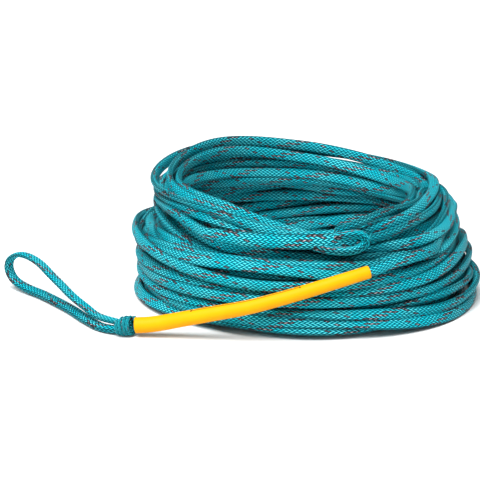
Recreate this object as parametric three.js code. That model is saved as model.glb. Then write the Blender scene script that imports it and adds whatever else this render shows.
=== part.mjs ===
// A coiled tow rope: flat hollow-braid line with a spliced eye at each end.
// The near eye's splice is buried under a tapered plastic sleeve.
// Units are millimetres. +Z is up, and the coil lies flat on Z = 0.
import * as THREE from 'three';

// ---- driving dimensions -------------------------------------------------

const ROPE_RADIUS = 4.4;            // the flat braid rounded out to the same girth
const GAP = 0.35;                   // clearance between touching pieces
const ROPE_SIDES = 10;

// The coil's centre, placed so that the whole object's box is centred on the origin.
const COIL_CENTRE = [57.3, 5.2, 0];

// Radii and heights of the two groups of turns. Each swing is how far the value
// moves with the cosine (to the right) and the sine (to the back) of the angle.
const RING_STEPS = 56;
const LOWER = {
  inner: { mean: 103, cosine: -8, sine: 0 },
  outer: { mean: 144, cosine: 0, sine: 2 },
  bottom: { mean: 0, cosine: 0, sine: 0 },
  top: { mean: 60, cosine: -8, sine: 0 },
  corner: 9,
};
const UPPER = {
  inner: { mean: 98, cosine: -5, sine: 2 },
  outer: { mean: 124, cosine: -6, sine: 6 },
  bottom: { mean: 60 + GAP, cosine: -8, sine: 0 },
  top: { mean: 95, cosine: -16, sine: 6 },
  corner: 7,
};

// Splice sleeve: outside and inside radii at its eye end and at its line end.
const SLEEVE_OUTER = [6.5, 5.2];
const SLEEVE_WALL = 0.9;
const SLEEVE_STEPS = 26;
const SLEEVE_SIDES = 16;

// Braid inside the sleeve: the standing line is hollow, and the tail runs in it.
const LINE_BORE = [2.7, 1.7];
const TAIL_RADIUS = [2.3, 1.2];
const TAIL_SHARE = 0.75;            // of the sleeve's length

// The sleeve's centreline, from the eye's throat to the mouth where the line leaves.
const SLEEVE_ROUTE = [
  [-138.6, -132.6, 9.4],
  [-127, -134.2, 10.6],
  [-115, -136, 12.9],
  [-97, -140, 17.6],
  [-78.5, -144, 22.4],
  [-50, -148.6, 29.2],
  [-26, -150.6, 36.2],
  [-4.5, -150.6, 42.7],
  [10.4, -149.6, 47.1],
  [28.5, -146.6, 52.1],
  [47.4, -141.5, 56.7],
];

// The line between the sleeve's mouth and the coil. It turns where it leaves the mouth.
const LEAD_ROUTE = [
  [52.3, -140.0, 57.9],
  [60, -136.5, 60.3],
  [72, -130.5, 62.5],
  [85, -120.5, 63.5],
  [96, -107.5, 63.5],
  [103, -94, 63],
  [106.5, -81, 62.3],
  [106.5, -70, 61.5],
];

// The eye stands on edge: out along the floor, round the tip and back above itself.
const EYE_ROUTE = [
  [-156.5, -130.4, 4.6],
  [-166, -120, 4.6],
  [-179, -103, 4.6],
  [-193, -79, 4.6],
  [-208, -57, 4.6],
  [-223, -37, 4.8],
  [-237, -21, 6.6],
  [-248, -8, 12],
  [-254.5, 1, 20.5],
  [-252.6, -2, 30],
  [-244, -13, 37],
  [-233, -27, 39],
  [-222, -42, 37],
  [-212, -56, 31],
  [-202, -70, 24.5],
  [-192, -84, 18.8],
  [-181, -98, 15],
  [-169, -113, 13.6],
  [-161.5, -123.5, 13.8],
  [-156.5, -130.4, 14.0],
];
const EYE_STEPS = 56;

// Throat lock: the line is tucked through itself and makes a ridged bead.
const LOCK_LENGTH = 13;
const LOCK_RADIUS = 8.1;
const LOCK_END_RADIUS = 6.6;
const LOCK_RIDGES = 3;
const LOCK_RIDGE_DEPTH = 0.6;

// The far end of the line lies on the coil's front: a buried splice, its lock and its eye.
const FAR_LINE_RADIUS = 6.2;
const FAR_BORE = 3;
const FAR_TAIL_RADIUS = 2.6;
const FAR_LINE_ROUTE = [
  [-84, -101, 77],
  [-63, -113, 77],
  [-41, -121.5, 77],
  [-19, -125.5, 77],
  [1, -126, 77],
  [22, -123.5, 77.5],
];
const FAR_LOCK_CENTRE = [35, -120.5, 79.5];
const FAR_LOCK_TURN = 6.2;          // radius of the curl
const FAR_LOCK_TUBE = 4;
const FAR_EYE_ROUTE = [
  [49.5, -113.5, 76],
  [60, -107, 77],
  [76, -95, 79.5],
  [92, -79, 83.5],
  [104, -58, 85.5],
  [110.5, -31, 85.3],
  [111.5, -9, 84.5],
  [105, 0, 84.5],
  [98, -12, 85],
  [95, -34, 86],
  [87, -54, 87.5],
  [76, -71, 89],
  [64, -86, 90.5],
  [55, -98, 90.5],
  [48.5, -108.5, 87],
];

// ---- materials ----------------------------------------------------------

function material(colour, roughness) {
  return new THREE.MeshStandardMaterial({ color: colour, roughness, metalness: 0 });
}

const TEAL_BRAID = material(0x0a93a8, 0.75);
const SLEEVE_YELLOW = material(0xffc814, 0.45);

// ---- helpers ------------------------------------------------------------

const UP = new THREE.Vector3(0, 0, 1);

function between(pair, share) {
  return pair[0] + (pair[1] - pair[0]) * share;
}

function curveThrough(points) {
  return new THREE.CatmullRomCurve3(points.map((p) => new THREE.Vector3(...p)), false, 'centripetal');
}

function named(name, geometry, finish) {
  const mesh = new THREE.Mesh(geometry, finish);
  mesh.name = name;
  return mesh;
}

// A regular polygon with the girth of a circle.
function roundSection(radius, sides) {
  const corners = [];
  for (let i = 0; i < sides; i += 1) {
    const angle = (i / sides) * 2 * Math.PI;
    corners.push(new THREE.Vector2(radius * Math.cos(angle), radius * Math.sin(angle)));
  }
  return corners;
}

// A tube of constant section along a route, with a bore where one is given.
function ropeTube(points, radius, steps, bore = 0) {
  const section = new THREE.Shape(roundSection(radius, ROPE_SIDES));
  if (bore > 0) {
    section.holes.push(new THREE.Path(roundSection(bore, ROPE_SIDES)));
  }
  return new THREE.ExtrudeGeometry(section, {
    extrudePath: curveThrough(points),
    steps,
    curveSegments: ROPE_SIDES,
    bevelEnabled: false,
  });
}

// Bends a shape made along +Y (from 0 to 1) so that its axis follows part of a curve.
function bendAlong(geometry, curve, from, to) {
  const place = geometry.attributes.position;
  for (let i = 0; i < place.count; i += 1) {
    const share = from + (to - from) * place.getY(i);
    const centre = curve.getPointAt(share);
    const along = curve.getTangentAt(share);
    const side = new THREE.Vector3().crossVectors(UP, along).normalize();
    const over = new THREE.Vector3().crossVectors(side, along);
    centre.addScaledVector(side, place.getX(i)).addScaledVector(over, place.getZ(i));
    place.setXYZ(i, centre.x, centre.y, centre.z);
  }
  return geometry;
}

// A tapered tube, closed all round: out along the outside and back along the bore.
function taperedTube(curve, outer, inner, sides, steps) {
  const outside = [];
  const inside = [];
  for (let i = 0; i <= steps; i += 1) {
    const share = i / steps;
    outside.push(new THREE.Vector2(between(outer, share), share));
    inside.unshift(new THREE.Vector2(between(inner, share), share));
  }
  const profile = [...outside, ...inside, outside[0].clone()];
  return bendAlong(new THREE.LatheGeometry(profile, sides), curve, 0, 1);
}

// A tapered rod with closed ends over part of a curve.
function taperedRod(curve, radii, from, to, steps) {
  const profile = [new THREE.Vector2(0, 0)];
  for (let i = 0; i <= steps; i += 1) {
    profile.push(new THREE.Vector2(between(radii, i / steps), i / steps));
  }
  profile.push(new THREE.Vector2(0, 1));
  return bendAlong(new THREE.LatheGeometry(profile, ROPE_SIDES), curve, from, to);
}

// ---- the coil -----------------------------------------------------------

function swung(size, angle) {
  return size.mean + size.cosine * Math.cos(angle) + size.sine * Math.sin(angle);
}

// One group of turns as a closed ring with rounded corners. The lathe gives the ring's
// faces, and each vertex is then moved to the group's own radius and height there.
function turnGroup(group) {
  const corners = [[-1, -1], [1, -1], [1, 1], [-1, 1]];
  const profile = [];
  const marks = [];
  for (const [radial, vertical] of corners) {
    // Two points cut each corner: first along the edge that arrives, then the one that leaves.
    const arrivesFlat = radial === vertical ? 0 : 1;
    for (const step of [0, 1]) {
      const cutsHeight = (step === 0) === (arrivesFlat === 0);
      marks.push({ radial, vertical, cutsHeight });
      profile.push(new THREE.Vector2(10 + radial * (cutsHeight ? 2 : 1), vertical * (cutsHeight ? 1 : 2)));
    }
  }
  marks.push(marks[0]);
  profile.push(profile[0].clone());
  const ring = new THREE.LatheGeometry(profile, RING_STEPS);
  const place = ring.attributes.position;
  for (let i = 0; i < place.count; i += 1) {
    const angle = (Math.floor(i / marks.length) % RING_STEPS) * (2 * Math.PI / RING_STEPS);
    const mark = marks[i % marks.length];
    const inner = swung(group.inner, angle);
    const outer = swung(group.outer, angle);
    const bottom = swung(group.bottom, angle);
    const top = swung(group.top, angle);
    let radius = mark.radial < 0 ? inner : outer;
    let height = mark.vertical < 0 ? bottom : top;
    if (mark.cutsHeight) {
      height -= mark.vertical * group.corner;
    } else {
      radius -= mark.radial * group.corner;
    }
    place.setXYZ(i, radius * Math.cos(angle), radius * Math.sin(angle), height);
  }
  return ring;
}

// ---- the sleeved splice -------------------------------------------------

const sleeveCurve = curveThrough(SLEEVE_ROUTE);

function spliceSleeve() {
  const inner = SLEEVE_OUTER.map((radius) => radius - SLEEVE_WALL);
  return taperedTube(sleeveCurve, SLEEVE_OUTER, inner, SLEEVE_SIDES, SLEEVE_STEPS);
}

function splicedLine() {
  const outer = SLEEVE_OUTER.map((radius) => radius - SLEEVE_WALL - GAP);
  return taperedTube(sleeveCurve, outer, LINE_BORE, ROPE_SIDES, SLEEVE_STEPS);
}

function buriedTail() {
  return taperedRod(sleeveCurve, TAIL_RADIUS, 0, TAIL_SHARE, SLEEVE_STEPS);
}

// The ridged bead at the eye's throat, on the sleeve's axis and just clear of its end.
function throatLock() {
  const steps = 12;
  const profile = [new THREE.Vector2(0, 0)];
  for (let i = 0; i <= steps; i += 1) {
    const share = i / steps;
    const crown = Math.sin(Math.PI * share) ** 0.6;
    const ridge = LOCK_RIDGE_DEPTH * Math.cos(2 * Math.PI * LOCK_RIDGES * share);
    const radius = between([LOCK_END_RADIUS, LOCK_RADIUS], crown) - ridge * crown;
    profile.push(new THREE.Vector2(radius, share * LOCK_LENGTH));
  }
  profile.push(new THREE.Vector2(0, LOCK_LENGTH));
  const bead = new THREE.LatheGeometry(profile, SLEEVE_SIDES);
  const throat = sleeveCurve.getPointAt(0);
  const away = sleeveCurve.getTangentAt(0).negate();
  const turn = new THREE.Quaternion().setFromUnitVectors(new THREE.Vector3(0, 1, 0), away);
  bead.applyQuaternion(turn);
  const start = throat.addScaledVector(away, GAP);
  bead.translate(start.x, start.y, start.z);
  return bead;
}

// ---- the far end --------------------------------------------------------

function farTail() {
  return taperedRod(curveThrough(FAR_LINE_ROUTE), [FAR_TAIL_RADIUS, FAR_TAIL_RADIUS], 0.15, 1, 14);
}

// The tuck's curl: most of a turn, facing the front.
function farLock() {
  const points = [];
  const from = -2.4;
  const to = 2.2;
  const count = 11;
  for (let i = 0; i < count; i += 1) {
    const angle = from + ((to - from) * i) / (count - 1);
    points.push([
      FAR_LOCK_CENTRE[0] + FAR_LOCK_TURN * Math.cos(angle),
      FAR_LOCK_CENTRE[1],
      FAR_LOCK_CENTRE[2] + FAR_LOCK_TURN * Math.sin(angle),
    ]);
  }
  return ropeTube(points, FAR_LOCK_TUBE, 20);
}

// ---- the assembly -------------------------------------------------------

const sleeveGroup = new THREE.Group();
sleeveGroup.add(
  named('splice_sleeve', spliceSleeve(), SLEEVE_YELLOW),
  named('spliced_line', splicedLine(), TEAL_BRAID),
  named('buried_tail', buriedTail(), TEAL_BRAID),
  named('throat_lock', throatLock(), TEAL_BRAID),
);

const farEndGroup = new THREE.Group();
farEndGroup.add(
  named('far_spliced_line', ropeTube(FAR_LINE_ROUTE, FAR_LINE_RADIUS, 16, FAR_BORE), TEAL_BRAID),
  named('far_buried_tail', farTail(), TEAL_BRAID),
  named('far_lock', farLock(), TEAL_BRAID),
  named('far_eye_loop', ropeTube(FAR_EYE_ROUTE, ROPE_RADIUS, 40), TEAL_BRAID),
);

const towRope = new THREE.Group();
towRope.add(
  named('coil_lower_turns', turnGroup(LOWER), TEAL_BRAID),
  named('coil_upper_turns', turnGroup(UPPER), TEAL_BRAID),
  named('lead_line', ropeTube(LEAD_ROUTE, ROPE_RADIUS, 12), TEAL_BRAID),
  sleeveGroup,
  named('eye_loop', ropeTube(EYE_ROUTE, ROPE_RADIUS, EYE_STEPS), TEAL_BRAID),
  farEndGroup,
);
towRope.position.set(...COIL_CENTRE);

const model = new THREE.Group();
model.add(towRope);

export default model;
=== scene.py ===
"""A coiled flat-braid tow rope with a sleeved eye splice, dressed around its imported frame."""

import math

import bmesh
import bpy
import numpy as np
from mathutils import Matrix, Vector


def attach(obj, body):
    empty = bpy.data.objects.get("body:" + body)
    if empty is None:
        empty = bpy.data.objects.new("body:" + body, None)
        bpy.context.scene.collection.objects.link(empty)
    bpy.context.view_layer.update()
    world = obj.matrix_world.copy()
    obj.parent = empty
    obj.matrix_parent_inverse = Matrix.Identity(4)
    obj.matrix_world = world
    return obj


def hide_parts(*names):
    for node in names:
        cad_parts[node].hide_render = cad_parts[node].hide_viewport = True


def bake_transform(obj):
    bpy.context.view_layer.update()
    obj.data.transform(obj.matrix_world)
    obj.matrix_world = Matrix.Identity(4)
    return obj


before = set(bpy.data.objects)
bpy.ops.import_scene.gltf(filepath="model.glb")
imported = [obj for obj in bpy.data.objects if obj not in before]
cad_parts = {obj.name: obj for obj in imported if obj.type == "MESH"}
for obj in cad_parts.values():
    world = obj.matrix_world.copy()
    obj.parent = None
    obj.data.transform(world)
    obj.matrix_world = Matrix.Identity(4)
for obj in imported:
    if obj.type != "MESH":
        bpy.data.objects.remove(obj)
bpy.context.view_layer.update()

MM = 0.001
FULL_TURN = 2 * math.pi
UP = np.array([0.0, 0.0, 1.0])

# The coil's centre in the row frame. Routes and rings below are measured from it.
COIL_CENTRE = np.array([0.0573, 0.0052, 0.0])

# ---- the line -------------------------------------------------------------------------

LINE_WIDTH = 0.0094
LINE_THICKNESS = 0.0052
HALF_WIDTH = LINE_WIDTH / 2
HALF_THICKNESS = LINE_THICKNESS / 2
END_BORE = 0.0041                   # the line's radius inside the sleeve's line end
SPACING = 0.0055                    # between the points of the line while it settles
FLOOR_CLEARANCE = 0.0004

# Cords seen close up have their braid in the mesh; the coil's long turns have it in their material.
COIL_STEP = 0.002                   # between the rings of a turn of the coil
CLOSE_STEP = 0.0006                 # between the rings of a cord seen close up
CLOSE_SIDES = 48
RELIEF = 0.00035                    # how far the braid stands up
TUCK_RELIEF = 0.0004                # and where the line is tucked or wound

# Stretches laid along listed points, in metres, close to the frame's own tubes.
LEAD_ROUTE = [
    (0.0523, -0.1400, 0.0579),
    (0.0600, -0.1365, 0.0603),
    (0.0720, -0.1305, 0.0625),
    (0.0850, -0.1205, 0.0635),
    (0.0960, -0.1075, 0.0635),
    (0.1030, -0.0940, 0.0630),
    (0.1065, -0.0810, 0.0623),
    (0.1065, -0.0700, 0.0615),
]
FAR_LINE_ROUTE = [
    (-0.086, -0.0985, 0.0785),
    (-0.063, -0.1130, 0.0770),
    (-0.041, -0.1215, 0.0770),
    (-0.019, -0.1255, 0.0770),
    (0.001, -0.1260, 0.0770),
    (0.022, -0.1240, 0.0775),
    (0.037, -0.1215, 0.0780),
]
SLEEVE_ROUTE = [
    (-0.1386, -0.1326, 0.0094),
    (-0.1270, -0.1342, 0.0106),
    (-0.1150, -0.1360, 0.0129),
    (-0.0970, -0.1400, 0.0176),
    (-0.0785, -0.1440, 0.0224),
    (-0.0500, -0.1486, 0.0292),
    (-0.0260, -0.1506, 0.0362),
    (-0.0045, -0.1506, 0.0427),
    (0.0104, -0.1496, 0.0471),
    (0.0285, -0.1466, 0.0521),
    (0.0474, -0.1415, 0.0567),
]
EYE_ROUTE = [
    (-0.1660, -0.1190, 0.0034),
    (-0.1790, -0.1005, 0.0035),
    (-0.1930, -0.0750, 0.0038),
    (-0.2080, -0.0515, 0.0040),
    (-0.2225, -0.0310, 0.0042),
    (-0.2365, -0.0155, 0.0050),
    (-0.2475, -0.0040, 0.0086),
    (-0.2524, -0.0002, 0.0172),
    (-0.2506, -0.0040, 0.0266),
    (-0.2430, -0.0140, 0.0338),
    (-0.2330, -0.0270, 0.0360),
    (-0.2220, -0.0420, 0.0342),
    (-0.2120, -0.0560, 0.0288),
    (-0.2020, -0.0700, 0.0236),
    (-0.1920, -0.0840, 0.0184),
    (-0.1810, -0.0980, 0.0142),
    (-0.1690, -0.1130, 0.0106),
]
# The tuck at the splice's end: the line turns up and back over itself and goes in.
FAR_CURL_ROUTE = [
    (0.004, -0.1270, 0.0735),
    (0.015, -0.1292, 0.0712),
    (0.027, -0.1298, 0.0703),
    (0.037, -0.1290, 0.0712),
    (0.0435, -0.1280, 0.0750),
    (0.0450, -0.1275, 0.0793),
    (0.0410, -0.1280, 0.0830),
    (0.0340, -0.1285, 0.0838),
    (0.0260, -0.1278, 0.0822),
    (0.0200, -0.1250, 0.0800),
]
FAR_EYE_ROUTE = [
    (0.0495, -0.1135, 0.0760),
    (0.0600, -0.1070, 0.0770),
    (0.0760, -0.0950, 0.0795),
    (0.0920, -0.0790, 0.0835),
    (0.1040, -0.0580, 0.0855),
    (0.1105, -0.0310, 0.0853),
    (0.1120, -0.0090, 0.0845),
    (0.1085, 0.0030, 0.0845),
    (0.1020, 0.0030, 0.0848),
    (0.0975, -0.0090, 0.0850),
    (0.0945, -0.0320, 0.0860),
    (0.0870, -0.0540, 0.0875),
    (0.0760, -0.0710, 0.0890),
    (0.0640, -0.0860, 0.0905),
    (0.0540, -0.0980, 0.0905),
    (0.0440, -0.1085, 0.0890),
    (0.0330, -0.1165, 0.0865),
    (0.0210, -0.1215, 0.0835),
]

# ---- camera, floor and light ----------------------------------------------------------

CAMERA_PLACE = (-0.0548, -1.817, 0.5569)    # from the coil's centre
CAMERA_DROP = math.radians(15.8)
CAMERA_LENS = 166
FLOOR_WHITE = (0.78, 0.78, 0.78)
WORLD_STRENGTH = 0.42
SKY_STRENGTH = 5.2
SKY_SPREAD = math.radians(40)
SKY_TILT = (math.radians(26), math.radians(-12), 0)
FRONT_BOX_PLACE = (-0.7, -1.5, 1.1)
FRONT_BOX_SIZE = 0.7
FRONT_BOX_POWER = 9
COIL_MIDDLE = (0.0, 0.0, 0.03)


def place_camera():
    data = bpy.data.cameras.new("studio_camera")
    data.lens = CAMERA_LENS
    data.sensor_width = 36
    data.clip_end = 20
    camera = bpy.data.objects.new("studio_camera", data)
    camera.location = Vector(COIL_CENTRE) + Vector(CAMERA_PLACE)
    camera.rotation_euler = (math.pi / 2 - CAMERA_DROP, 0, 0)
    bpy.context.scene.collection.objects.link(camera)
    bpy.context.scene.camera = camera


def add_lamp(data, place, turn):
    lamp = bpy.data.objects.new(data.name, data)
    lamp.location = place
    lamp.rotation_euler = turn
    bpy.context.scene.collection.objects.link(lamp)


def place_lights():
    sky = bpy.data.lights.new("sky_panel", "SUN")
    sky.energy = SKY_STRENGTH
    sky.angle = SKY_SPREAD
    add_lamp(sky, (0, 0, 0), SKY_TILT)
    box = bpy.data.lights.new("front_box", "AREA")
    box.shape = "RECTANGLE"
    box.size = box.size_y = FRONT_BOX_SIZE
    box.energy = FRONT_BOX_POWER
    aim = Vector(COIL_MIDDLE) - Vector(FRONT_BOX_PLACE)
    add_lamp(box, FRONT_BOX_PLACE, aim.to_track_quat("-Z", "Y").to_euler())
    world = bpy.data.worlds.new("studio_white")
    world.use_nodes = True
    background = world.node_tree.nodes["Background"]
    background.inputs["Color"].default_value = (1, 1, 1, 1)
    background.inputs["Strength"].default_value = WORLD_STRENGTH
    bpy.context.scene.world = world


def floor_material():
    material = bpy.data.materials.new("white_floor")
    material.use_nodes = True
    shader = material.node_tree.nodes["Principled BSDF"]
    shader.inputs["Base Color"].default_value = (*FLOOR_WHITE, 1)
    shader.inputs["Roughness"].default_value = 0.6
    return material


def lay_floor():
    mesh = bpy.data.meshes.new("floor")
    shape = bmesh.new()
    bmesh.ops.create_grid(shape, x_segments=1, y_segments=1, size=6)
    shape.to_mesh(mesh)
    shape.free()
    floor = bpy.data.objects.new("floor", mesh)
    bpy.context.scene.collection.objects.link(floor)
    mesh.materials.append(floor_material())


place_camera()
place_lights()
lay_floor()

# ---- curves ---------------------------------------------------------------------------

def spline(a, b, c, d, t):
    """A smooth curve from b to c as t goes from 0 to 1, with a and d the values beyond them."""
    return 0.5 * (2 * b + (c - a) * t + (2 * a - 5 * b + 4 * c - d) * t * t + (3 * b - a - 3 * c + d) * t**3)


def eased(values, low, high):
    """0 below low, 1 above high."""
    t = np.clip((values - low) / (high - low), 0, 1)
    return t * t * (3 - 2 * t)


def unit(vectors):
    return vectors / np.maximum(np.linalg.norm(vectors, axis=-1, keepdims=True), 1e-12)


def tangents(path):
    return unit(np.gradient(path, axis=0))


def across(wide, along):
    """wide made square to the line."""
    return unit(wide - (wide * along).sum(1, keepdims=True) * along)


def same_way(direction, path):
    """One direction for every point of a path."""
    return np.tile(direction, (len(path), 1))


def distances(path):
    """How far along the path each of its points is."""
    return np.r_[0, np.cumsum(np.linalg.norm(np.diff(path, axis=0), axis=1))]


def length_of(path):
    return float(np.linalg.norm(np.diff(path, axis=0), axis=1).sum())


def smooth_path(points, spacing):
    """Evenly spaced points on a smooth curve through the given ones."""
    p = np.asarray(points, float)
    p = np.vstack([2 * p[0] - p[1], p, 2 * p[-1] - p[-2]])
    per = 12
    t = np.arange(per)[:, None] / per
    fine = [spline(*p[k - 1 : k + 3], t) for k in range(1, len(p) - 2)]
    fine = np.vstack([*fine, p[-2]])
    gone = distances(fine)
    even = np.linspace(0, gone[-1], max(2, round(gone[-1] / spacing) + 1))
    return np.column_stack([np.interp(even, gone, fine[:, k]) for k in range(3)])


def resampled(path, wide, step):
    """A path with new spacing, and its directions with it."""
    gone = distances(path)
    fine = smooth_path(path, step)
    along = np.linspace(0, gone[-1], len(fine))
    return fine, np.column_stack([np.interp(along, gone, wide[:, k]) for k in range(3)])


# ---- laying the coil ------------------------------------------------------------------

# Where each group of turns lies at eight directions, counter-clockwise from the right:
# inner radius, outer radius, lowest, highest, and how far its top leans in, in millimetres.
LOWER_RING = [
    (112, 152, -4, 84, 30), (114, 147, -4, 77, 14), (118, 146, -4, 72, 6), (120, 144, -4, 69, 3),
    (120, 145, -4, 68, 1), (118, 147, -4, 66, 4), (118, 147, -4, 66, 5), (116, 154, -4, 70, 12),
]
MIDDLE_RING = [
    (94, 116, 58, 86, 0), (96, 118, 56, 80, 0), (100, 124, 58, 90, 0), (98, 126, 60, 97, 0),
    (102, 130, 58, 96, 0), (98, 124, 46, 75, 0), (96, 121, 44, 71, 0), (96, 124, 44, 73, 0),
]
UPPER_RING = [
    (91, 117, 76, 94, 0), (95, 126, 73, 94, 0), (96, 126, 78, 103, 0), (100, 130, 83, 115, 0),
    (102, 132, 82, 108, 0), (98, 125, 86, 101, 0), (92, 118, 72, 82, 0), (94, 126, 74, 91, 0),
]
# ring, number of turns, rows of turns one above the other, whether the inner turns are laid first
TURN_GROUPS = [(LOWER_RING, 21, 7, False), (UPPER_RING, 5, 2, True), (MIDDLE_RING, 8, 3, True)]
STATIONS = 5                        # in a turn, where the turns' order in the bundle is set
STEPS_PER_STATION = 8
EDGE, TOP = 3, 5                    # how far a turn's middle stays inside its ring, in millimetres
DEPTH_SWAPS, HEIGHT_SWAPS = 0.32, 0.7    # how readily turns change places, in layers and in rows
# Stretches that stand off the bundle: how far out and up, in millimetres, at a station of a turn.
STRAYS = {(22, 0): (8, -9), (24, 0): (10, -15)}
COIL_START = math.radians(-33)
COIL_END = math.radians(224)        # where the last turn runs into the far splice


def around(stations, angle):
    """Values between evenly spaced directions round the coil, on a smooth closed curve."""
    values = np.asarray(stations, float)
    count = len(values)
    where = (angle / FULL_TURN) % 1.0 * count
    first = int(where)
    t = where - first
    return spline(*(values[(first + k) % count] for k in (-1, 0, 1, 2)), t)


def turn_slots(random):
    """Each station's place in its ring, 0 to 1 from inside to outside and from low to high, along the line.
    Turns keep roughly to their own place and swap with their neighbours between stations."""
    slots = []
    for ring, turns, rows, inner_first in TURN_GROUPS:
        layers = math.ceil(turns / rows)
        order = np.arange(turns)[::-1] if inner_first else np.arange(turns)
        layer, row = order // rows, order % rows
        row = np.where(layer % 2 == 1, rows - 1 - row, row)
        group = [[None] * STATIONS for _ in range(turns)]
        for station in range(STATIONS):
            depth = layer + random.normal(0, DEPTH_SWAPS, turns)
            height = row + random.normal(0, HEIGHT_SWAPS, turns)
            if not slots and station == 0:
                # The line comes in from the lead on the bundle's outside, near its top.
                depth[0], height[0] = -9, 0.6
            new_layer = np.argsort(np.argsort(depth)) // rows
            for k in range(layers):
                members = np.nonzero(new_layer == k)[0]
                rank = np.argsort(np.argsort(height[members]))
                outwards = 1 - (k + 0.25) / (layers - 0.5)
                for turn, place in zip(members, rank):
                    group[turn][station] = (ring, outwards, 1 - (place + 0.5) / len(members))
        slots += [slot for turn in group for slot in turn]
    return slots


def slot_place(slot, angle):
    ring, outwards, upwards = slot
    inner, outer, lowest, highest, lean = around(ring, angle)
    outer -= lean * upwards**2
    radius = inner + EDGE + outwards * (outer - inner - 2 * EDGE)
    height = lowest + TOP + upwards * (highest - lowest - 2 * TOP)
    return np.array([radius * math.cos(angle), radius * math.sin(angle), height]) * MM


def stray(turn, station, angle):
    out, up = STRAYS.get((turn, station), (0, 0))
    return np.array([out * math.cos(angle), out * math.sin(angle), up]) * MM


def coil_points(random):
    """The turns before they settle, one after the other."""
    slots = turn_slots(random)
    step = FULL_TURN / STATIONS
    stations = (COIL_END - COIL_START) / step + STATIONS * (len(slots) // STATIONS - 1)
    points = []
    for i in range(3, int(stations * STEPS_PER_STATION) - 2):
        gone, share = divmod(i / STEPS_PER_STATION, 1)
        turn, station = divmod(int(gone), STATIONS)
        share = share * share * (3 - 2 * share)
        angle = COIL_START + i / STEPS_PER_STATION * step
        here = slot_place(slots[int(gone)], angle) + stray(turn, station, angle)
        after = slot_place(slots[min(int(gone) + 1, len(slots) - 1)], angle)
        after = after + stray(turn + (station + 1) // STATIONS, (station + 1) % STATIONS, angle)
        points.append(here + (after - here) * share)
    return points


def wander(random, count, reach):
    """A smooth random value per point, with a new knot every reach metres."""
    step = reach / SPACING
    knots = random.normal(size=int(count / step) + 5)
    where = np.arange(count) / step
    first = where.astype(int)
    t = where - first
    return spline(*(knots[first + k] for k in range(4)), t)


def near_pairs(places, movable):
    """Pairs of points that may touch and aren't neighbours on the line."""
    firsts, seconds = [], []
    flat = places.astype(np.float32)
    block = 400
    for start in range(0, movable, block):
        gap = ((flat[start : start + block, None] - flat[None]) ** 2).sum(2)
        i, j = np.nonzero(gap < PAIR_REACH * PAIR_REACH)
        i += start
        keep = (j - i > NEIGHBOURS) & (i < movable)
        firsts.append(i[keep])
        seconds.append(j[keep])
    return np.concatenate(firsts), np.concatenate(seconds)


def gathered(index, values, count):
    """The vectors summed for each point."""
    return np.column_stack([np.bincount(index, values[:, k], count) for k in range(3)])


SPLICE_HALF_THICKNESS = 0.005       # of the far splice, for the turns that rest on it
SETTLING_ROUNDS = 300
PAIRS_EVERY = 12                    # rounds between two searches for touching points
PAIR_REACH = LINE_WIDTH + 0.0035
NEIGHBOURS = 4                      # points so near along the line never push each other
SIDE_BY_SIDE = 0.75 * SPACING       # how far along the line two points may be apart and still push
PUSH = 0.22                         # the share of an overlap that each of two points gives way in a round
TWIST = 0.5                         # how strongly a push turns the flat of the line
SINK = 0.00001                      # how far a free point falls in a round
HOLD = 0.992                        # the share of its shift that a point keeps from round to round
STIFFNESS = 0.5                     # how strongly a point follows its two neighbours


def bent(values, line_count):
    """How far each inner point of the line is from the middle of its two neighbours."""
    return (values[: line_count - 2] + values[2:line_count]) / 2 - values[1 : line_count - 1]


def settle(start, free, wide, half_width, half_thick, line_count):
    """Lets the turns push each other apart and sink on to each other and the floor.
    Points before line_count are the line, in order; the rest are the fixed pieces round it."""
    inner = slice(1, line_count - 1)
    count = len(start)
    place = start.copy()
    loose = free[:, None]

    def all_tangents():
        return np.vstack([tangents(place[:line_count]), tangents(place[line_count:])])

    for done in range(SETTLING_ROUNDS):
        if done % PAIRS_EVERY == 0:
            i, j = near_pairs(place, line_count)
        along = all_tangents()
        gap = place[j] - place[i]
        same = np.sign((along[i] * along[j]).sum(1, keepdims=True))
        axis = unit(along[i] + along[j] * same)
        slide = (gap * axis).sum(1, keepdims=True)
        gap = gap - slide * axis
        distance = np.linalg.norm(gap, axis=1)
        push = gap / np.maximum(distance, 1e-9)[:, None]
        beside = np.abs(slide[:, 0]) < SIDE_BY_SIDE

        def room(k):
            part = (push * wide[k]).sum(1) ** 2
            return 1 / np.sqrt(part / half_width[k] ** 2 + (1 - part) / half_thick[k] ** 2)

        overlap = np.where(beside, np.maximum(room(i) + room(j) - distance, 0), 0)
        hit = overlap > 0
        hi, hj, push, overlap = i[hit], j[hit], push[hit], overlap[hit][:, None]
        share = PUSH * overlap * push
        move = gathered(hj, share, count) - gathered(hi, share, count)
        place += move * loose
        twist = overlap / LINE_THICKNESS * TWIST
        swing = gathered(hi, -twist * push * (push * wide[hi]).sum(1, keepdims=True), count)
        swing += gathered(hj, -twist * push * (push * wide[hj]).sum(1, keepdims=True), count)
        wide = wide + swing * loose
        shift = place - start
        shift[:, 2] -= SINK * free
        shift *= HOLD
        for _ in range(2):
            shift[inner] += STIFFNESS * bent(shift, line_count) * loose[inner]
            wide[inner] += STIFFNESS * bent(wide, line_count) * loose[inner]
        place = start + shift * loose
        along = all_tangents()
        wide = across(wide, along)
        thin = np.cross(along, wide)
        foot = np.sqrt((half_width * wide[:, 2]) ** 2 + (half_thick * thin[:, 2]) ** 2)
        place[:, 2] = np.where(free > 0, np.maximum(place[:, 2], foot + FLOOR_CLEARANCE), place[:, 2])
    return place, wide


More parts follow.
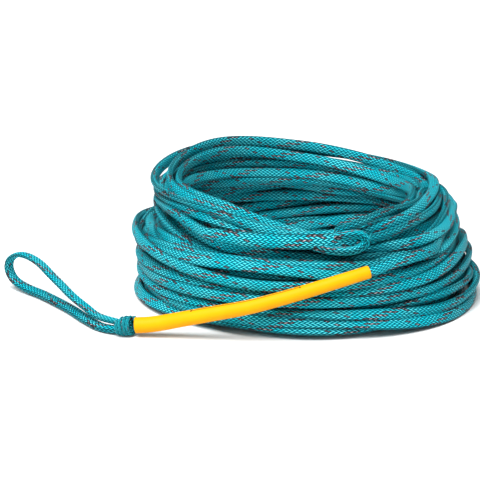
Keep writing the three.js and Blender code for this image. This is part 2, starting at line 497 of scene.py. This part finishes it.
def lay_line():
    """The whole line's settled points, the direction across its flat, and its free part's two ends."""
    random = np.random.default_rng(11)
    lead = smooth_path(LEAD_ROUTE, SPACING)
    far = smooth_path(FAR_LINE_ROUTE, SPACING)
    rough = smooth_path(np.vstack([lead[::3], coil_points(random), far[::3]]), SPACING)
    count = len(rough)
    free = np.zeros(count)
    first, last = len(lead), count - len(far)
    ramp = 8
    free[first:last] = 1
    free[first : first + ramp] = np.arange(ramp) / ramp
    free[last - ramp : last] = np.arange(ramp)[::-1] / ramp

    outwards = unit(rough * [1, 1, 0])
    sideways = outwards * wander(random, count, 0.10)[:, None] * 0.0026
    upwards = UP * wander(random, count, 0.15)[:, None] * 0.0030
    rough = rough + (sideways + upwards) * free[:, None]
    lean = wander(random, count, 0.16)[:, None] * 0.65
    wide = np.where(free[:, None] > 0, UP + outwards * lean, UP)

    # The sleeve and the far eye stay where they are, and the turns settle round them.
    places, wides = [rough], [across(wide, tangents(rough))]
    half_width, half_thick = [np.full(count, HALF_WIDTH)], [np.full(count, HALF_THICKNESS)]
    half_thick[0][last:] = SPLICE_HALF_THICKNESS
    for route, (a, b) in ((SLEEVE_ROUTE, (0.0068, 0.0068)), (FAR_EYE_ROUTE, (0.0058, 0.0044))):
        path = smooth_path(route, SPACING)
        places.append(path)
        wides.append(across(same_way(UP, path), tangents(path)))
        half_width.append(np.full(len(path), a))
        half_thick.append(np.full(len(path), b))
    place = np.vstack(places)
    free = np.concatenate([free, np.zeros(len(place) - count)])
    sizes = np.concatenate(half_width), np.concatenate(half_thick)
    place, wide = settle(place, free, np.vstack(wides), *sizes, count)
    return place[:count], wide[:count], first, last


# ---- straps of braid ------------------------------------------------------------------

PITCH = 0.068                       # the length in which one strand goes once round the line
STRANDS = 16                        # in each direction
MEAN_HEIGHT = 0.75                  # of the braid, so that its relief leaves the line as thick as it is
END_BULGE = 0.0005                  # how far a cord's end is domed


def flat_section(sides, flatness):
    """Points round a flattened section of half size 1 by 1, evenly spaced on a 2 to 1 one."""
    angle = np.linspace(0, FULL_TURN, 721)
    x = np.sign(np.cos(angle)) * np.abs(np.cos(angle)) ** (2 / flatness)
    y = np.sign(np.sin(angle)) * np.abs(np.sin(angle)) ** (2 / flatness)
    gone = np.r_[0, np.cumsum(np.hypot(2 * np.diff(x), np.diff(y)))]
    even = np.linspace(0, gone[-1], sides + 1)[:-1]
    return np.interp(even, gone, x), np.interp(even, gone, y)


def braid_height(u, y):
    """How far the braid stands up, 0 to 1: each strand goes over two of the others, then under two."""
    p, q = STRANDS * (u + y), STRANDS * (u - y)
    phase = (np.floor(p) + np.floor(q)) % 4
    over = phase < 1.5
    crown = np.sin(math.pi * np.where(over, p % 1, q % 1))
    float_share = np.where(over, phase + q % 1, phase - 2 + p % 1) / 2
    return crown * (0.45 + 0.55 * np.sin(math.pi * float_share))


def strap_rings(path, along, wide, half_width, half_thick, x, y, stand):
    """The section's points round every point of the path, moved out by stand for the braid's relief."""
    thin = np.cross(along, wide)
    outer_x, outer_y = x[None] * half_width, y[None] * half_thick
    if stand is not None:
        slope = np.hypot(x[None] / half_width, y[None] / half_thick)
        outer_x = outer_x + stand * (x[None] / half_width) / slope
        outer_y = outer_y + stand * (y[None] / half_thick) / slope
    return path[:, None] + outer_x[..., None] * wide[:, None] + outer_y[..., None] * thin[:, None]


def tube_mesh(name, points, count, sides):
    """Quads between the rings and a fan over each end, whose middles are the last two points."""
    k = np.arange(sides)
    after = (k + 1) % sides
    row = np.arange(count - 1)[:, None] * sides
    quads = np.stack([row + k, row + after, row + sides + after, row + sides + k], -1).reshape(-1, 4)
    heads = np.stack([np.full(sides, count * sides), after, k], -1)
    base = (count - 1) * sides
    tails = np.stack([np.full(sides, count * sides + 1), base + k, base + after], -1)
    corners = np.concatenate([quads.ravel(), heads.ravel(), tails.ravel()])
    starts = np.concatenate([np.arange(len(quads)) * 4, len(quads) * 4 + np.arange(2 * sides) * 3])
    mesh = bpy.data.meshes.new(name)
    mesh.vertices.add(len(points))
    mesh.vertices.foreach_set("co", points.ravel())
    mesh.loops.add(len(corners))
    mesh.loops.foreach_set("vertex_index", corners.astype(np.int32))
    mesh.polygons.add(len(starts))
    mesh.polygons.foreach_set("loop_start", starts.astype(np.int32))
    mesh.update(calc_edges=True)
    mesh.polygons.foreach_set("use_smooth", np.ones(len(starts), bool))
    return mesh


def map_braid(mesh, v, sides):
    """Lays u round the tube and v along it."""
    k = np.arange(sides)
    quad_u = np.broadcast_to(np.stack([k, k + 1, k + 1, k], -1) / sides, (len(v) - 1, sides, 4))
    quad_v = np.stack([v[:-1], v[:-1], v[1:], v[1:]], -1)[:, None]
    quad_v = np.broadcast_to(quad_v, (len(v) - 1, sides, 4))
    head_u = np.stack([k + 0.5, k + 1, k], -1) / sides
    tail_u = np.stack([k + 0.5, k, k + 1], -1) / sides
    flat_u = np.concatenate([quad_u.ravel(), head_u.ravel(), tail_u.ravel()])
    flat_v = np.concatenate([quad_v.ravel(), np.full(3 * sides, v[0]), np.full(3 * sides, v[-1])])
    layer = mesh.uv_layers.new(name="braid")
    layer.data.foreach_set("uv", np.column_stack([flat_u, flat_v]).ravel())


def strap(name, path, wide, half_width, half_thick, sides=24, start=0.0, relief=0.0, flatness=2.5):
    """A closed braided tube along path; start is how much of the line came before it."""
    count = len(path)
    along = tangents(path)
    x, y = flat_section(sides, flatness)
    half_width = np.broadcast_to(half_width, (count,))[:, None]
    half_thick = np.broadcast_to(half_thick, (count,))[:, None]
    v = (start + distances(path)) / PITCH
    stand = None
    if relief:
        stand = relief * (braid_height(np.arange(sides)[None] / sides, v[:, None]) - MEAN_HEIGHT)
    rings = strap_rings(path, along, across(wide, along), half_width, half_thick, x, y, stand)
    ends = [path[0] - along[0] * END_BULGE, path[-1] + along[-1] * END_BULGE]
    points = np.vstack([rings.reshape(-1, 3), *ends]) + COIL_CENTRE
    mesh = tube_mesh(name, points, count, sides)
    map_braid(mesh, v, sides)
    mesh.validate()
    piece = bpy.data.objects.new(name, mesh)
    bpy.context.scene.collection.objects.link(piece)
    mesh.materials.append(BRAID)
    return piece


# ---- materials ------------------------------------------------------------------------

def feed(tree, socket, value):
    if hasattr(value, "is_output"):
        tree.links.new(value, socket)
    else:
        socket.default_value = value


def calc(tree, operation, *values):
    node = tree.nodes.new("ShaderNodeMath")
    node.operation = operation
    for socket, value in zip(node.inputs, values):
        feed(tree, socket, value)
    return node.outputs[0]


def ease(tree, value, low, high):
    """0 below low, 1 above high."""
    node = tree.nodes.new("ShaderNodeMapRange")
    node.interpolation_type = "SMOOTHSTEP"
    feed(tree, node.inputs["Value"], value)
    node.inputs["From Min"].default_value = low
    node.inputs["From Max"].default_value = high
    return node.outputs["Result"]


def mixed(tree, share, first, second, way="MIX"):
    node = tree.nodes.new("ShaderNodeMix")
    node.data_type = "RGBA"
    node.blend_type = way
    feed(tree, node.inputs[0], share)
    for socket, value in ((node.inputs[6], first), (node.inputs[7], second)):
        feed(tree, socket, (*value, 1) if isinstance(value, tuple) else value)
    return node.outputs[2]


def noise(tree, place, scale, detail):
    node = tree.nodes.new("ShaderNodeTexNoise")
    tree.links.new(place, node.inputs["Vector"])
    node.inputs["Scale"].default_value = scale
    node.inputs["Detail"].default_value = detail
    return node.outputs["Fac"]


def bumped(tree, shader, height, strength, distance):
    bump = tree.nodes.new("ShaderNodeBump")
    bump.inputs["Strength"].default_value = strength
    bump.inputs["Distance"].default_value = distance
    tree.links.new(height, bump.inputs["Height"])
    tree.links.new(bump.outputs["Normal"], shader.inputs["Normal"])


def flat_braid():
    """A two-over, two-under braid: its height, its tracer strands, the pale ones of those, its fibre, and a
    mask of the flat line's narrow edges, for painted shade there."""
    tree = bpy.data.node_groups.new("flat_braid", "ShaderNodeTree")
    for name in ("Height", "Tracer", "Pale", "Fibre", "EdgeShade"):
        tree.interface.new_socket(name, in_out="OUTPUT", socket_type="NodeSocketFloat")
    uv = tree.nodes.new("ShaderNodeUVMap")
    uv.uv_map = "braid"
    split = tree.nodes.new("ShaderNodeSeparateXYZ")
    tree.links.new(uv.outputs["UV"], split.inputs[0])
    u, y = split.outputs[0], split.outputs[1]
    strands = []
    for way in ("ADD", "SUBTRACT"):
        value = calc(tree, "MULTIPLY", calc(tree, way, u, y), float(STRANDS))
        index = calc(tree, "FLOOR", value)
        strands.append((index, calc(tree, "SUBTRACT", value, index)))
    (ip, fp), (iq, fq) = strands
    phase = calc(tree, "FLOORED_MODULO", calc(tree, "ADD", ip, iq), 4.0)
    over = calc(tree, "LESS_THAN", phase, 1.5)
    under = calc(tree, "SUBTRACT", 1.0, over)

    def choose(first, second):
        return calc(tree, "ADD", calc(tree, "MULTIPLY", over, first), calc(tree, "MULTIPLY", under, second))

    share = choose(fp, fq)
    phase_under = calc(tree, "SUBTRACT", phase, 2.0)
    lengthways = choose(calc(tree, "ADD", phase, fq), calc(tree, "ADD", phase_under, fp))
    lengthways = calc(tree, "MULTIPLY", lengthways, 0.5)
    crown = calc(tree, "SINE", calc(tree, "MULTIPLY", share, math.pi))
    hump = calc(tree, "SINE", calc(tree, "MULTIPLY", lengthways, math.pi))
    height = calc(tree, "MULTIPLY", crown, calc(tree, "MULTIPLY_ADD", hump, 0.55, 0.45))
    crossing = calc(tree, "SUBTRACT", iq, float(STRANDS - 1))
    index = choose(*(calc(tree, "FLOORED_MODULO", way, float(STRANDS)) for way in (ip, crossing)))
    tracer = calc(tree, "LESS_THAN", index, calc(tree, "MULTIPLY_ADD", over, 2.0, 0.5))
    pale = calc(tree, "MULTIPLY", tracer, calc(tree, "COMPARE", index, 1.0, 0.4))
    along_float = calc(tree, "MULTIPLY", lengthways, 3.0)
    lines = calc(tree, "SINE", calc(tree, "MULTIPLY_ADD", share, 3 * FULL_TURN, along_float))
    fibre = calc(tree, "MULTIPLY_ADD", lines, 0.5, 0.5)
    # A mask of the flat line's narrow edges, where painted shade stands for neighbouring turns shading each
    # other.
    half_round = calc(tree, "FRACT", calc(tree, "MULTIPLY", u, 2.0))
    side = calc(tree, "ABSOLUTE", calc(tree, "SUBTRACT", half_round, 0.5))
    edge_shade_mask = ease(tree, side, 0.30, 0.49)
    out = tree.nodes.new("NodeGroupOutput")
    for socket, value in zip(out.inputs, (height, tracer, pale, fibre, edge_shade_mask)):
        tree.links.new(value, socket)
    return tree


# The darkest teal and tracer colours are painted shade between the yarns, TEAL and TRACER the yarns' own
# colours, and the bright ones painted highlights and glints.
TEAL_CREVICE_SHADE, TEAL = (0.0, 0.022, 0.034), (0.0, 0.35, 0.455)
TEAL_CREST_HIGHLIGHT, TEAL_SHINE, TEAL_GLINT = (0.01, 0.80, 0.92), (0.16, 0.97, 1.0), (0.28, 0.93, 0.98)
TRACER_CREVICE_SHADE, TRACER, TRACER_GLINT = (0.008, 0.010, 0.014), (0.062, 0.066, 0.076), (0.60, 0.55, 0.59)


def braid_material():
    """Teal flat braid with a few dark tracer strands, painted shade in its crevices and along its narrow
    edges, and painted highlights and glints on its crests.
    """
    material = bpy.data.materials.new("teal_braid")
    material.use_nodes = True
    tree = material.node_tree
    shader = tree.nodes["Principled BSDF"]
    group = tree.nodes.new("ShaderNodeGroup")
    group.node_tree = flat_braid()
    outputs = ("Height", "Tracer", "Pale", "Fibre", "EdgeShade")
    height, tracer, pale, fibre, edge_shade_mask = (group.outputs[name] for name in outputs)
    place = tree.nodes.new("ShaderNodeTexCoord").outputs["Object"]
    patchy = noise(tree, place, 45, 2)
    glint_specks = noise(tree, place, 900, 2)
    body = ease(tree, height, 0.16, 0.66)
    crest = ease(tree, height, 0.66, 1.0)
    # Painted shade: low in the braid, between the yarns, the teal darkens to its darkest colour.
    teal = mixed(tree, body, TEAL_CREVICE_SHADE, TEAL)
    # Painted highlight: the braid's crests turn a bright cyan, patchily brighter still.
    teal = mixed(tree, crest, teal, mixed(tree, ease(tree, patchy, 0.35, 0.7), TEAL_CREST_HIGHLIGHT, TEAL_SHINE))
    # Painted glints: scattered pale specks on the crests.
    teal = mixed(tree, calc(tree, "MULTIPLY", ease(tree, glint_specks, 0.58, 0.70), crest), teal, TEAL_GLINT)
    # The tracer darkens to its painted crevice shade in the same way.
    grey = mixed(tree, body, TRACER_CREVICE_SHADE, TRACER)
    # On the tracer, the crests of its pale yarn and scattered specks take the glint colour: the pale yarn's
    # own lighter tone together with painted highlight, and painted glints.
    glint = calc(tree, "MULTIPLY", calc(tree, "MAXIMUM", pale, ease(tree, glint_specks, 0.48, 0.60)), crest)
    grey = mixed(tree, glint, grey, TRACER_GLINT)
    colour = mixed(tree, tracer, teal, grey)
    # Painted shade: the colour darkens by up to 62% at the line's narrow edges, and is multiplied with the
    # fibre lines.
    painted_edge_shade = calc(tree, "MULTIPLY_ADD", edge_shade_mask, -0.62, 1.0)
    fibre_and_edge_shade = calc(tree, "MULTIPLY", calc(tree, "MULTIPLY_ADD", fibre, 0.18, 0.82), painted_edge_shade)
    shade = tree.nodes.new("ShaderNodeCombineColor")
    for socket in shade.inputs:
        tree.links.new(fibre_and_edge_shade, socket)
    colour = mixed(tree, 1.0, colour, shade.outputs[0], "MULTIPLY")
    tree.links.new(colour, shader.inputs["Base Color"])
    tree.links.new(calc(tree, "MULTIPLY_ADD", crest, -0.16, 0.55), shader.inputs["Roughness"])
    shader.inputs["Specular IOR Level"].default_value = 0.06
    bumped(tree, shader, calc(tree, "MULTIPLY_ADD", fibre, 0.10, height), 0.9, 0.0007)
    return material


# The second yellow is painted shade for the sleeve's underside; the third is a random cloudy tone.
YELLOW_TOP, YELLOW_UNDER_SHADE, YELLOW_CLOUD = (0.72, 0.325, 0.0), (0.72, 0.285, 0.0), (0.74, 0.355, 0.0)
LINE_BROWN = (0.10, 0.035, 0.004)
LINE_U = 0.205                      # where the fine line runs, round the sleeve
LINE_ENDS = (0.25, 0.71)            # where it starts and stops, along the sleeve


def sleeve_material():
    """Satin yellow plastic, with painted shade making it deeper orange underneath, a fine line along it and a
    tick at each end of the line."""
    material = bpy.data.materials.new("yellow_plastic")
    material.use_nodes = True
    tree = material.node_tree
    shader = tree.nodes["Principled BSDF"]
    uv = tree.nodes.new("ShaderNodeUVMap")
    uv.uv_map = "wrap"
    split = tree.nodes.new("ShaderNodeSeparateXYZ")
    tree.links.new(uv.outputs["UV"], split.inputs[0])
    u, v = split.outputs[0], split.outputs[1]
    place = tree.nodes.new("ShaderNodeTexCoord").outputs["Object"]
    cloud = noise(tree, place, 60, 3)
    scuff = noise(tree, place, 700, 3)

    def within(value, inner, outer):
        """1 below inner, 0 above outer."""
        return calc(tree, "SUBTRACT", 1.0, ease(tree, value, inner, outer))

    # Painted shade: the sleeve's underside mixes towards the deeper orange.
    low = within(calc(tree, "SINE", calc(tree, "MULTIPLY", u, FULL_TURN)), -0.95, 0.25)
    colour = mixed(tree, low, YELLOW_TOP, YELLOW_UNDER_SHADE)
    colour = mixed(tree, calc(tree, "MULTIPLY", ease(tree, cloud, 0.4, 0.75), 0.5), colour, YELLOW_CLOUD)
    off_line = calc(tree, "ABSOLUTE", calc(tree, "SUBTRACT", u, LINE_U))
    first, last = LINE_ENDS
    between = calc(tree, "MULTIPLY", ease(tree, v, first - 0.005, first), within(v, last, last + 0.005))
    mark = calc(tree, "MULTIPLY", within(off_line, 0.007, 0.013), between)
    for end in LINE_ENDS:
        tick = within(calc(tree, "ABSOLUTE", calc(tree, "SUBTRACT", v, end)), 0.002, 0.004)
        tick = calc(tree, "MULTIPLY", tick, within(off_line, 0.03, 0.035))
        mark = calc(tree, "MAXIMUM", mark, tick)
    colour = mixed(tree, mark, colour, LINE_BROWN)
    tree.links.new(colour, shader.inputs["Base Color"])
    tree.links.new(calc(tree, "MULTIPLY_ADD", scuff, 0.2, 0.4), shader.inputs["Roughness"])
    shader.inputs["Specular IOR Level"].default_value = 0.09
    height = calc(tree, "SUBTRACT", calc(tree, "MULTIPLY", scuff, 0.5), calc(tree, "MULTIPLY", mark, 1.2))
    bumped(tree, shader, height, 0.5, 0.0003)
    return material


BRAID = braid_material()
YELLOW = sleeve_material()

# ---- the coil, its lead and its far splice ---------------------------------------------

line, line_wide, coil_first, coil_last = lay_line()


# The coil is one line, cut into pieces only to keep each of them light.
COIL_PIECES = 5
cuts = np.linspace(coil_first, coil_last, COIL_PIECES + 1).astype(int)
gone = 0.0
for k in range(COIL_PIECES):
    stretch = slice(cuts[k], cuts[k + 1] + 1)
    path, wide = resampled(line[stretch], line_wide[stretch], COIL_STEP)
    piece = strap(f"coil_rope_{k + 1}", path, wide, HALF_WIDTH, HALF_THICKNESS, start=gone)
    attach(piece, "coil")
    if k == 0:
        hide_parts("coil_lower_turns")
    if k == COIL_PIECES - 1:
        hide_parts("coil_upper_turns")
    gone += length_of(path)

# The lead starts inside the sleeve and opens out flat once it is clear of it.
sleeve_line = smooth_path(SLEEVE_ROUTE, 0.002)
INSIDE = 14                         # points of the lead inside the sleeve
lead_rough = np.vstack([sleeve_line[-INSIDE:], line[1 : coil_first + 1]])
lead_wide = np.vstack([same_way(UP, sleeve_line[-INSIDE:]), line_wide[1 : coil_first + 1]])
path, wide = resampled(lead_rough, lead_wide, CLOSE_STEP)
opened = eased(distances(path), 0.026, 0.050)
piece = strap("lead_rope", path, wide, END_BORE + (HALF_WIDTH - END_BORE) * opened,
              END_BORE + (HALF_THICKNESS - END_BORE) * opened, sides=CLOSE_SIDES, relief=RELIEF)
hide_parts("lead_line")
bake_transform(piece)

# The far splice is fat with the line's own tail.
FAT_HALF_WIDTH, FAT_HALF_THICKNESS = 0.0062, 0.0056
path, wide = resampled(line[coil_last:], line_wide[coil_last:], CLOSE_STEP)
fat = eased(distances(path), 0.0, 0.05)
piece = strap("far_splice_rope", path, wide, HALF_WIDTH + (FAT_HALF_WIDTH - HALF_WIDTH) * fat,
              HALF_THICKNESS + (FAT_HALF_THICKNESS - HALF_THICKNESS) * fat, sides=CLOSE_SIDES, start=gone,
              relief=RELIEF, flatness=2.2)
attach(piece, "coil")
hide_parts("far_spliced_line")

tail = path[30:-4]
piece = strap("far_tail_rope", tail, same_way(UP, tail), 0.0028, 0.0022, sides=16)
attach(piece, "coil")
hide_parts("far_buried_tail")

# Where the tail is tucked through the line, the line curls once over itself.
curl = smooth_path(FAR_CURL_ROUTE, 0.0005)
piece = strap("far_lock_curl", curl, same_way([0.0, -1.0, 0.0], curl), 0.0040, 0.0034, sides=CLOSE_SIDES,
              relief=TUCK_RELIEF, flatness=2.2)
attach(piece, "coil")
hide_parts("far_lock")

# The far eye lies on the upper turns, its flat turned up and to the front.
path = smooth_path(FAR_EYE_ROUTE, CLOSE_STEP)
piece = strap("far_eye_rope", path, same_way([0.1, -0.8, 1.0], path), HALF_WIDTH - 0.0002, HALF_THICKNESS,
              sides=CLOSE_SIDES, start=0.3, relief=RELIEF)
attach(piece, "coil")
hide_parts("far_eye_loop")

# ---- the sleeved eye splice -------------------------------------------------------------

# The hollow standing line inside the sleeve, and the eye's tail buried in it.
spliced = sleeve_line[: len(sleeve_line) - INSIDE + 1]
path, wide = resampled(spliced, same_way(UP, spliced), 0.001)
girth = np.linspace(0.0054, END_BORE, len(path))
piece = strap("spliced_rope", path, wide, girth, girth, sides=32, flatness=2.0)
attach(piece, "sleeve")
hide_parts("spliced_line")
tail = path[: int(len(path) * 0.75)]
girth = np.linspace(0.0023, 0.0012, len(tail))
piece = strap("buried_tail_rope", tail, same_way(UP, tail), girth, girth, sides=16, flatness=2.0)
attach(piece, "sleeve")
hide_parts("buried_tail")

SLEEVE_RADIUS_EYE_END, SLEEVE_RADIUS_LINE_END, SLEEVE_WALL = 0.0065, 0.0052, 0.0009
LIP = ((0.0, -0.6), (0.0002, -0.2), (0.0007, 0.0))    # along the sleeve, and outwards in walls
SLEEVE_STEPS = 56


def sleeve_profile(length):
    """The wall's outline along X and outwards: the outside, the rounded lips and the bore."""
    big, small, wall = SLEEVE_RADIUS_EYE_END, SLEEVE_RADIUS_LINE_END, SLEEVE_WALL
    profile = [(along, big + share * wall) for along, share in LIP]
    for along in np.linspace(0.0015, length - 0.0015, 130):
        profile.append((along, big + (small - big) * along / length))
    profile += [(length - along, small + share * wall) for along, share in reversed(LIP)]
    for along in np.linspace(length - 0.0006, 0.0006, 60):
        profile.append((along, big + (small - big) * along / length - wall))
    return profile


def map_sleeve(shape, length):
    """Lays u round the straight sleeve and v along it."""
    wrap = shape.loops.layers.uv.new("wrap")
    for face in shape.faces:
        face.smooth = True
        angles = [math.atan2(loop.vert.co.z, -loop.vert.co.y) / FULL_TURN % 1.0 for loop in face.loops]
        if max(angles) - min(angles) > 0.5:
            angles = [angle + 1 if angle < 0.5 else angle for angle in angles]
        for loop, angle in zip(face.loops, angles):
            loop[wrap].uv = (angle, loop.vert.co.x / length)


def bend_sleeve(shape, route):
    """Takes the straight sleeve's X axis on to its route."""
    along = tangents(route)
    up = across(same_way(UP, route), along)
    side = np.cross(up, along)
    gone_along = distances(route)
    for vert in shape.verts:
        where = vert.co.x
        centre, lift, out = (Vector([np.interp(where, gone_along, values[:, k]) for k in range(3)])
                             for values in (route, up, side))
        vert.co = centre + out * vert.co.y + lift * vert.co.z + Vector(COIL_CENTRE)


def make_sleeve():
    """A tapered tube with rounded lips, turned straight along X, then bent along its route."""
    route = smooth_path(SLEEVE_ROUTE, 0.001)
    length = length_of(route)
    shape = bmesh.new()
    corners = [shape.verts.new((along, radius, 0)) for along, radius in sleeve_profile(length)]
    edges = [shape.edges.new((corners[k - 1], corners[k])) for k in range(1, len(corners))]
    edges.append(shape.edges.new((corners[-1], corners[0])))
    bmesh.ops.spin(shape, geom=corners + edges, cent=(0, 0, 0), axis=(1, 0, 0), angle=FULL_TURN,
                   steps=SLEEVE_STEPS, use_merge=True, use_normal_flip=False)
    bmesh.ops.remove_doubles(shape, verts=shape.verts, dist=1e-7)
    bmesh.ops.recalc_face_normals(shape, faces=shape.faces)
    map_sleeve(shape, length)
    bend_sleeve(shape, route)
    bmesh.ops.recalc_face_normals(shape, faces=shape.faces)
    mesh = bpy.data.meshes.new("tapered_sleeve")
    shape.to_mesh(mesh)
    shape.free()
    mesh.materials.append(YELLOW)
    piece = bpy.data.objects.new("tapered_sleeve", mesh)
    bpy.context.scene.collection.objects.link(piece)
    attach(piece, "sleeve")
    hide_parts("splice_sleeve")


make_sleeve()

# The throat's lock: the tail's tucks, wound round both legs against the sleeve's end.
throat = np.asarray(SLEEVE_ROUTE[0])
back = unit(throat - np.asarray(SLEEVE_ROUTE[1]))
lift = unit(UP - back * back[2])
side = np.cross(back, lift)
WRAPS = 4
turn = np.linspace(0.2, WRAPS * FULL_TURN - 0.4, 800)
share = turn / (WRAPS * FULL_TURN)
reach = 0.0010 + share * 0.0124 - 0.0020 * np.sin(turn)
radius = 0.0055 + 0.0009 * np.sin(share * math.pi) - 0.0006 * share
winding = throat + reach[:, None] * back + (np.cos(turn) * radius)[:, None] * lift
winding = winding + (np.sin(turn) * radius)[:, None] * side
piece = strap("throat_wraps", winding, same_way(back, winding), 0.00155, 0.0021, sides=40,
              relief=TUCK_RELIEF, flatness=2.0)
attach(piece, "sleeve")
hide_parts("throat_lock")

# The eye's two legs run out of the lock. The strap lies like a belt, with its flat to the loop's outside. Its
# lower leg rests on the floor, and it is slimmer from the nose back along its upper leg.
LOWER_LEG = ((0.003, -0.0026), (0.010, -0.0032))    # backwards from the throat, and up
UPPER_LEG = ((0.010, 0.0026), (0.003, 0.0026))
lower, upper = ([throat + back * reach + lift * rise for reach, rise in leg] for leg in (LOWER_LEG, UPPER_LEG))
path = smooth_path(np.vstack([lower, EYE_ROUTE, upper]), CLOSE_STEP)
gone = distances(path)
full = eased(gone, 0.0, 0.02) * eased(length_of(path) - gone, 0.0, 0.02)
slim = 1 - 0.2 * eased(gone / length_of(path), 0.38, 0.55)
piece = strap("eye_rope", path, same_way([0.788, 0.616, 0.0], path), (0.0030 + 0.0021 * full) * slim,
              (0.0024 + 0.0004 * full) * slim, sides=CLOSE_SIDES, relief=RELIEF)
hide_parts("eye_loop")
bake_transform(piece)

bpy.context.scene.view_settings.view_transform = "Standard"
